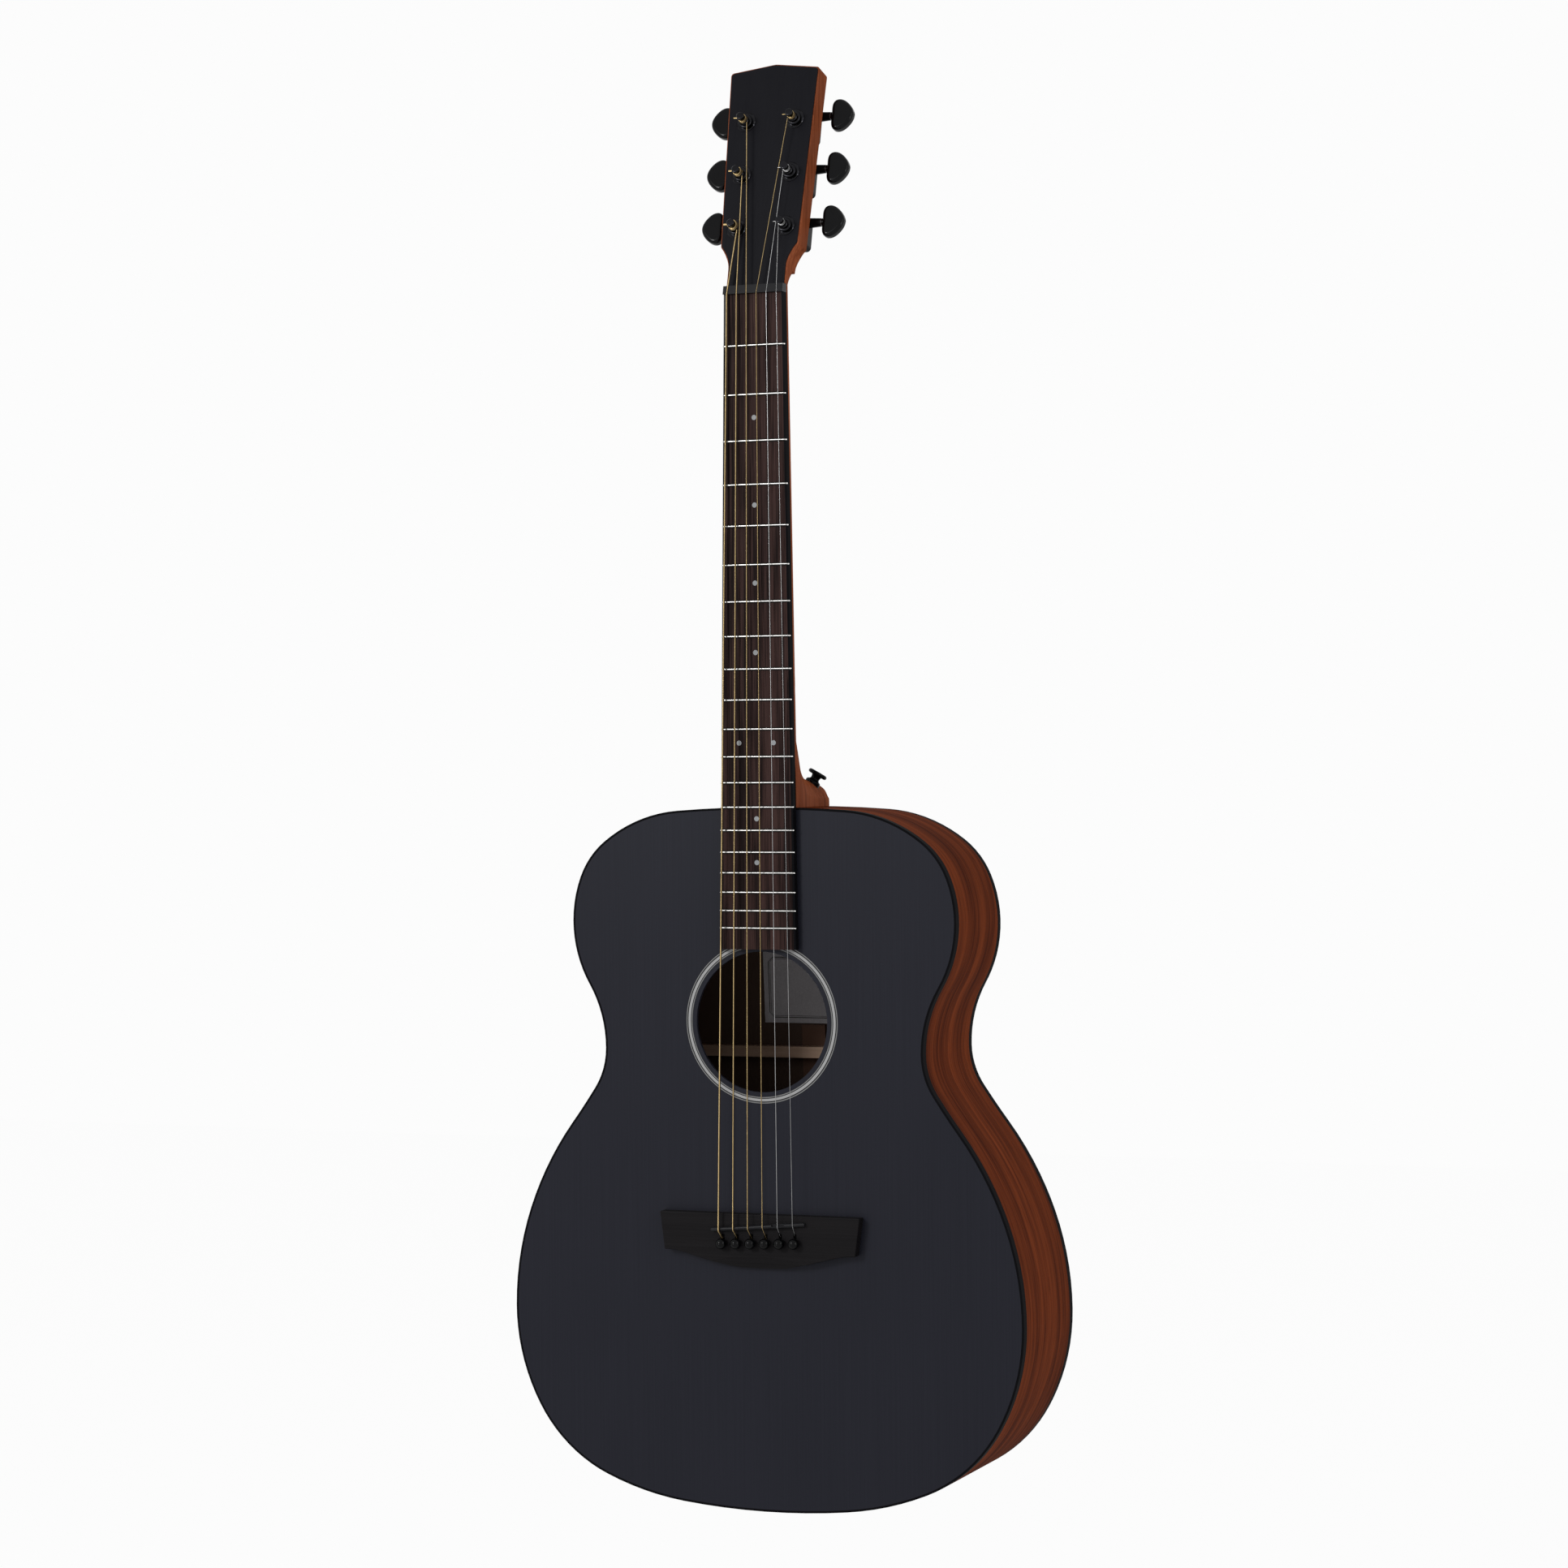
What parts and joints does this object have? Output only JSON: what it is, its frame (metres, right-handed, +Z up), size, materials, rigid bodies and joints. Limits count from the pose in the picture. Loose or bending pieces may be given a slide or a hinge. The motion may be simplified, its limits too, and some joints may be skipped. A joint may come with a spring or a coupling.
{
  "type": "acoustic guitar",
  "caption": "Flat-top steel-string acoustic guitar with a wide-waisted body, black stained top, bound fingerboard and sealed tuning machines that turn.",
  "frame": {"origin": "centre of the nut's front edge, in the plane of the soundboard's face, where a wall hanger's yoke takes the neck below the headstock", "axes": "+X to the treble side, +Z up along the neck, -Y out of the soundboard's face"},
  "size_m": [0.3848, 0.1321, 1.0334],
  "materials": {
    "black_top": "satin black stain over fine straight grain",
    "mahogany": "open-pored satin, brown",
    "mahogany_neck": "open-pored satin, warm brown",
    "brace_wood": "planed, unfinished",
    "block_wood": "sawn, unfinished",
    "fingerboard_wood": "dark streaked, oiled",
    "headplate_wood": "satin black",
    "black_trim": "polished black",
    "black_saddle": "fine satin black",
    "silver_inlay": "pale grey with fine diagonal hatching",
    "paper": "grey paper",
    "pearl_dots": "pale grey",
    "fret_metal": "polished nickel silver",
    "rod_steel": "plain steel",
    "machine_black": "gloss black",
    "machine_steel": "dark plated",
    "post_metal": "black chrome",
    "button_black": "polished black",
    "bronze_wire": "wound bronze",
    "plain_wire": "bright plain wire"
  },
  "bodies": {
    "guitar": {"soundboard": "black_top", "back_plate": "mahogany", "bass_side": "mahogany", "treble_side": "mahogany", "front_binding": "black_trim", "back_binding": "black_trim", "linings": "block_wood", "neck_block": "block_wood", "tail_block": "block_wood", "x_braces": "brace_wood", "top_braces": "brace_wood", "bridge_plate": "fingerboard_wood", "back_braces": "brace_wood", "rosette": "silver_inlay", "label": "paper", "bridge": "fingerboard_wood", "saddle": "black_saddle", "bridge_pins": "black_trim", "wound_strings": "bronze_wire", "plain_strings": "plain_wire", "neck": "mahogany_neck", "headplate": "headplate_wood", "fingerboard": "fingerboard_wood", "fingerboard_binding": "black_trim", "frets": "fret_metal", "position_dots": "pearl_dots", "nut": "black_saddle", "truss_rod": "rod_steel", "tuner_housings": "machine_black", "tuner_covers": "machine_black", "tuner_bushings": "post_metal", "tuner_screws": "machine_steel", "strap_button": "machine_black", "end_pin": "black_trim"},
    "truss_nut": {"truss_rod_nut": "rod_steel"},
    "knob_6": {"tuner_worm_6": "machine_steel", "tuner_button_6": "button_black"},
    "post_6": {"tuner_post_6": "post_metal", "string_winding_6": "bronze_wire"},
    "knob_5": {"tuner_worm_5": "machine_steel", "tuner_button_5": "button_black"},
    "post_5": {"tuner_post_5": "post_metal", "string_winding_5": "bronze_wire"},
    "knob_4": {"tuner_worm_4": "machine_steel", "tuner_button_4": "button_black"},
    "post_4": {"tuner_post_4": "post_metal", "string_winding_4": "bronze_wire"},
    "knob_3": {"tuner_worm_3": "machine_steel", "tuner_button_3": "button_black"},
    "post_3": {"tuner_post_3": "post_metal", "string_winding_3": "bronze_wire"},
    "knob_2": {"tuner_worm_2": "machine_steel", "tuner_button_2": "button_black"},
    "post_2": {"tuner_post_2": "post_metal", "string_winding_2": "plain_wire"},
    "knob_1": {"tuner_worm_1": "machine_steel", "tuner_button_1": "button_black"},
    "post_1": {"tuner_post_1": "post_metal", "string_winding_1": "plain_wire"}
  },
  "joints": [
    {"name": "truss_nut_turn", "type": "hinge", "parent": "guitar", "child": "truss_nut", "pos_m": [0, 0.0092, -0.41526], "axis": [0, 0, 1], "range_deg": [-180, 180]},
    {"name": "knob_6_turn", "type": "hinge", "parent": "guitar", "child": "knob_6", "pos_m": [-0.0185, 0.03264, 0.05259], "axis": [1, 0, 0], "continuous": true},
    {"name": "post_6_turn", "type": "hinge", "parent": "guitar", "child": "post_6", "pos_m": [-0.0185, 0.00846, 0.04821], "axis": [0, -0.9703, 0.2419], "continuous": true},
    {"name": "knob_5_turn", "type": "hinge", "parent": "guitar", "child": "knob_5", "pos_m": [-0.0185, 0.04241, 0.09179], "axis": [1, 0, 0], "continuous": true},
    {"name": "post_5_turn", "type": "hinge", "parent": "guitar", "child": "post_5", "pos_m": [-0.0185, 0.01824, 0.08741], "axis": [0, -0.9703, 0.2419], "continuous": true},
    {"name": "knob_4_turn", "type": "hinge", "parent": "guitar", "child": "knob_4", "pos_m": [-0.0185, 0.05214, 0.13079], "axis": [1, 0, 0], "continuous": true},
    {"name": "post_4_turn", "type": "hinge", "parent": "guitar", "child": "post_4", "pos_m": [-0.0185, 0.02796, 0.12641], "axis": [0, -0.9703, 0.2419], "continuous": true},
    {"name": "knob_3_turn", "type": "hinge", "parent": "guitar", "child": "knob_3", "pos_m": [0.0185, 0.05214, 0.13079], "axis": [1, 0, 0], "continuous": true},
    {"name": "post_3_turn", "type": "hinge", "parent": "guitar", "child": "post_3", "pos_m": [0.0185, 0.02796, 0.12641], "axis": [0, -0.9703, 0.2419], "continuous": true},
    {"name": "knob_2_turn", "type": "hinge", "parent": "guitar", "child": "knob_2", "pos_m": [0.0185, 0.04241, 0.09179], "axis": [1, 0, 0], "continuous": true},
    {"name": "post_2_turn", "type": "hinge", "parent": "guitar", "child": "post_2", "pos_m": [0.0185, 0.01824, 0.08741], "axis": [0, -0.9703, 0.2419], "continuous": true},
    {"name": "knob_1_turn", "type": "hinge", "parent": "guitar", "child": "knob_1", "pos_m": [0.0185, 0.03264, 0.05259], "axis": [1, 0, 0], "continuous": true},
    {"name": "post_1_turn", "type": "hinge", "parent": "guitar", "child": "post_1", "pos_m": [0.0185, 0.00846, 0.04821], "axis": [0, -0.9703, 0.2419], "continuous": true}
  ],
  "couplings": [
    {"joint": "post_6_turn", "follows": "knob_6_turn", "ratio": -0.0625},
    {"joint": "post_5_turn", "follows": "knob_5_turn", "ratio": -0.0625},
    {"joint": "post_4_turn", "follows": "knob_4_turn", "ratio": -0.0625},
    {"joint": "post_3_turn", "follows": "knob_3_turn", "ratio": -0.0625},
    {"joint": "post_2_turn", "follows": "knob_2_turn", "ratio": -0.0625},
    {"joint": "post_1_turn", "follows": "knob_1_turn", "ratio": -0.0625}
  ]
}
